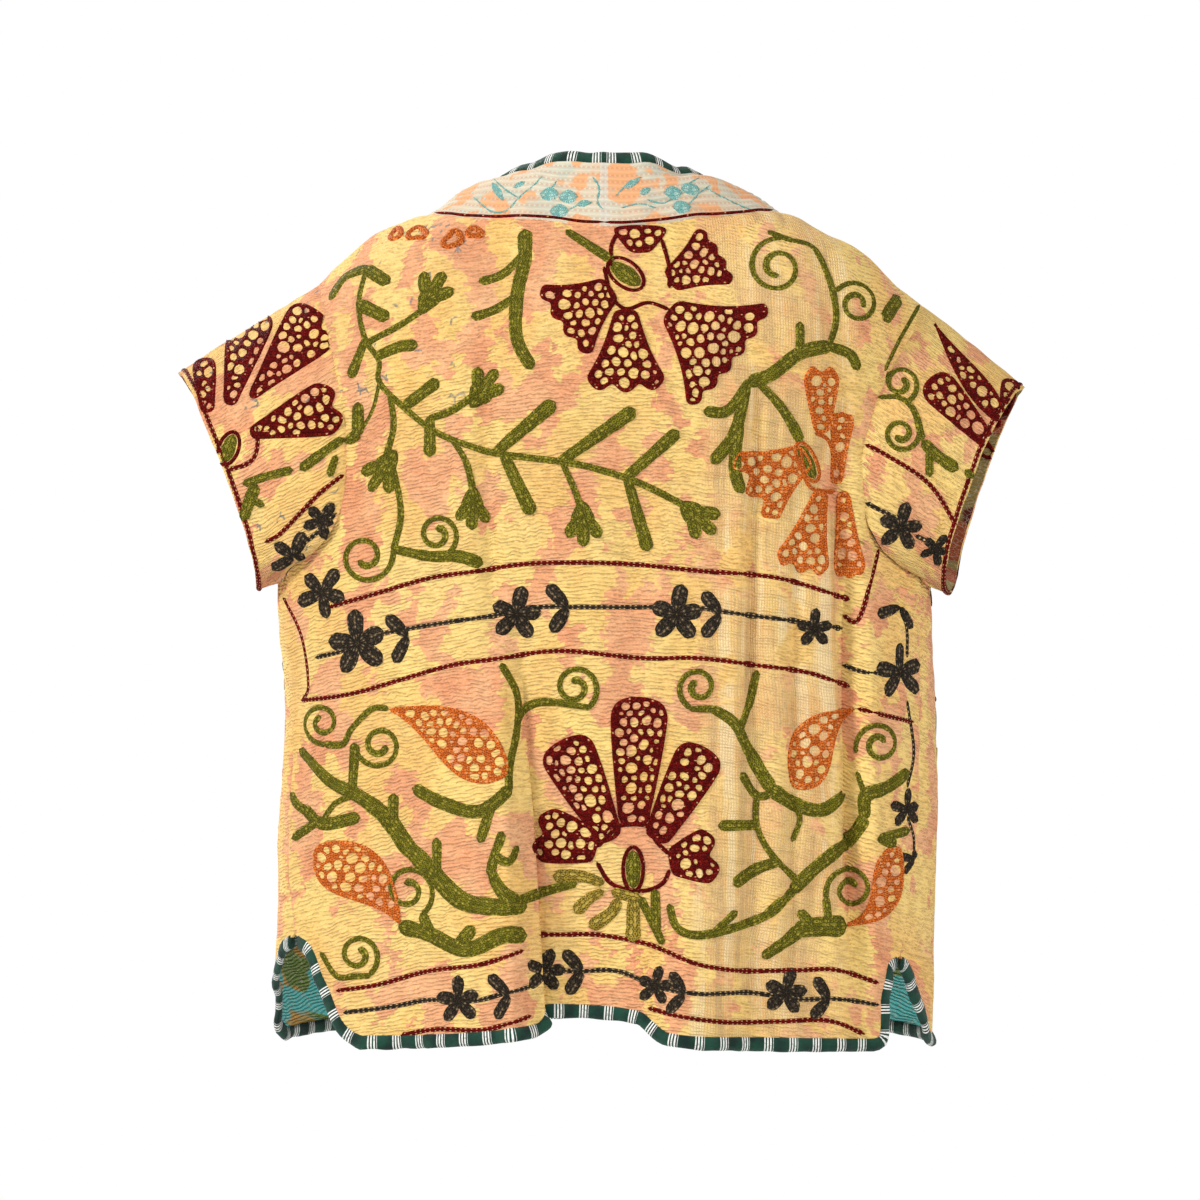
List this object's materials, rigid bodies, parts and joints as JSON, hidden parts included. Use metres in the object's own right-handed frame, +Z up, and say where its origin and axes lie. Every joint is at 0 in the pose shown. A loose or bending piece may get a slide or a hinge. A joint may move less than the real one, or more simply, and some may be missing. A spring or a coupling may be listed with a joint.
{
  "type": "embroidered waistcoat",
  "caption": "Open hip-length waistcoat of quilted cloth with short wide sleeves, a neckband down both front edges, side slits and bound hems, filled out as worn.",
  "frame": {"origin": "middle of the neck opening, just behind the shoulder seams' neck ends and level with them, where the wearer's shoulders hold the waistcoat", "axes": "+Z up, front faces -Y, wearer's left toward +X"},
  "size_m": [0.5945, 0.2542, 0.6265],
  "materials": {
    "quilted_cloth": "quilted plain weave, embroidered",
    "band_cloth": "quilted plain weave, embroidered",
    "striped_binding": "woven strip with white lines across"
  },
  "bodies": {
    "root": {"back": "quilted_cloth", "front_left": "quilted_cloth", "front_right": "quilted_cloth", "sleeve_left": "quilted_cloth", "sleeve_right": "quilted_cloth", "neckband_left": "band_cloth", "neckband_right": "band_cloth", "band_binding_left": "striped_binding", "band_binding_right": "striped_binding", "hem_binding_back": "striped_binding", "hem_binding_left": "striped_binding", "hem_binding_right": "striped_binding"}
  },
  "joints": []
}
